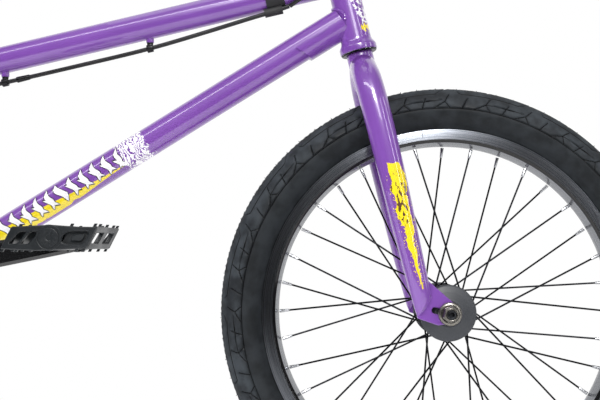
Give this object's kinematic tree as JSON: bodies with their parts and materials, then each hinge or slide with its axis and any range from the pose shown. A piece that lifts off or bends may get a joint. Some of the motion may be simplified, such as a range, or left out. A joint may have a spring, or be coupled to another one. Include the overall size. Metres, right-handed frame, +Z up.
{
  "type": "bmx bicycle",
  "caption": "Freestyle BMX bicycle with spoked wheels, steerable fork and high-rise handlebar, turning cranks and pedals, chain drive, saddle and a hand-operated rear rim brake.",
  "frame": {"origin": "on the ground, midway between the two axles, in the middle plane of the bicycle", "axes": "+X forward along the wheelbase, +Y to the rider's left, +Z up; the drive side is -Y"},
  "size_m": [1.461, 0.74, 0.9328],
  "materials": {
    "frame_paint": "gloss purple paint",
    "black_paint": "gloss black paint",
    "black_alloy": "black anodised",
    "dark_steel": "blackened",
    "bright_steel": "satin",
    "tyre_rubber": "matt",
    "grip_rubber": "matt",
    "dark_plastic": "satin",
    "saddle_cover": "soft matt cover over foam"
  },
  "bodies": {
    "frame": {"top_tube": "frame_paint", "down_tube": "frame_paint", "down_tube_gusset": "frame_paint", "seat_tube": "frame_paint", "bottom_bracket_shell": "frame_paint", "bottom_bracket_bearing_left": "dark_steel", "bottom_bracket_bearing_right": "dark_steel", "chainstay_left": "frame_paint", "chainstay_right": "frame_paint", "seatstay_left": "frame_paint", "seatstay_right": "frame_paint", "seat_clamp": "black_paint", "seat_post": "black_paint", "seat": "saddle_cover", "chain": "dark_steel", "brake_cable_rear": "dark_plastic", "cable_strap": "grip_rubber", "head_tube": "frame_paint", "headset_bearing_lower": "bright_steel", "headset_bearing_upper": "bright_steel", "rear_axle": "dark_steel"},
    "fork": {"fork_steerer": "frame_paint", "fork_leg_left": "frame_paint", "fork_leg_right": "frame_paint", "headset_cap": "black_paint", "stem": "black_alloy", "stem_faceplate": "black_alloy", "stem_cap": "black_alloy", "handlebar": "black_paint", "grip_left": "grip_rubber", "grip_right": "grip_rubber", "brake_lever_perch": "black_alloy", "front_axle": "dark_steel", "front_axle_nut_left": "dark_steel", "front_axle_nut_right": "dark_steel", "hub_guard_left": "dark_plastic", "hub_guard_right": "dark_plastic", "brake_cable_front": "dark_plastic"},
    "front_wheel": {"front_tyre": "tyre_rubber", "front_rim": "black_alloy", "front_hub": "black_alloy", "front_spokes_right": "dark_steel", "front_spokes_left": "dark_steel"},
    "rear_wheel": {"rear_tyre": "tyre_rubber", "rear_rim": "black_alloy", "rear_hub": "black_alloy", "rear_spokes_right": "dark_steel", "rear_spokes_left": "dark_steel"},
    "driver": {"driver": "bright_steel"},
    "crank": {"crank_spindle": "dark_steel", "sprocket": "black_paint", "crank_arm_right": "black_paint", "crank_arm_left": "black_paint", "pedal_axle_right": "bright_steel", "pedal_axle_left": "bright_steel"},
    "pedal_right": {"pedal_right": "dark_plastic"},
    "pedal_left": {"pedal_left": "dark_plastic"},
    "brake_lever": {"brake_lever": "black_alloy"},
    "brake_arm_right": {"brake_arm_right": "black_alloy"},
    "brake_arm_left": {"brake_arm_left": "black_alloy"}
  },
  "joints": [
    {"name": "steering", "type": "hinge", "parent": "frame", "child": "fork", "pos_m": [0.3757, 0, 0.5602], "axis": [-0.2334, 0, 0.9724], "range_deg": [-90, 90], "deforming": ["brake_cable_front"]},
    {"name": "front_wheel_spin", "type": "hinge", "parent": "fork", "child": "front_wheel", "pos_m": [0.4725, 0, 0.258], "axis": [0, 1, 0], "continuous": true},
    {"name": "rear_wheel_spin", "type": "hinge", "parent": "frame", "child": "rear_wheel", "pos_m": [-0.4725, 0, 0.258], "axis": [0, 1, 0], "continuous": true},
    {"name": "crank_spin", "type": "hinge", "parent": "frame", "child": "crank", "pos_m": [-0.1075, 0, 0.31], "axis": [0, 1, 0], "continuous": true},
    {"name": "driver_spin", "type": "hinge", "parent": "frame", "child": "driver", "pos_m": [-0.4725, 0, 0.258], "axis": [0, 1, 0], "continuous": true},
    {"name": "pedal_spin_right", "type": "hinge", "parent": "crank", "child": "pedal_right", "pos_m": [0.0651, 0, 0.33888], "axis": [0, 1, 0], "continuous": true},
    {"name": "pedal_spin_left", "type": "hinge", "parent": "crank", "child": "pedal_left", "pos_m": [-0.2801, 0, 0.28112], "axis": [0, 1, 0], "continuous": true},
    {"name": "brake_lever_pull", "type": "hinge", "parent": "fork", "child": "brake_lever", "pos_m": [0.35662, -0.22604, 0.90956], "axis": [-0.2508, 0.0443, -0.967], "range_deg": [0, 15], "stiffness_Nm_per_rad": 1, "springref_deg": -17.19},
    {"name": "brake_arm_left_close", "type": "hinge", "parent": "frame", "child": "brake_arm_left", "pos_m": [-0.33972, 0.041, 0.37045], "axis": [0.6463, 0, -0.7631], "range_deg": [0, 3.2]},
    {"name": "brake_arm_right_close", "type": "hinge", "parent": "frame", "child": "brake_arm_right", "pos_m": [-0.33972, -0.041, 0.37045], "axis": [-0.6463, 0, 0.7631], "range_deg": [0, 3.2]}
  ],
  "couplings": [
    {"joint": "driver_spin", "follows": "crank_spin", "ratio": 2.8},
    {"joint": "brake_arm_left_close", "follows": "brake_lever_pull", "ratio": 0.20667},
    {"joint": "brake_arm_right_close", "follows": "brake_lever_pull", "ratio": 0.20667}
  ]
}
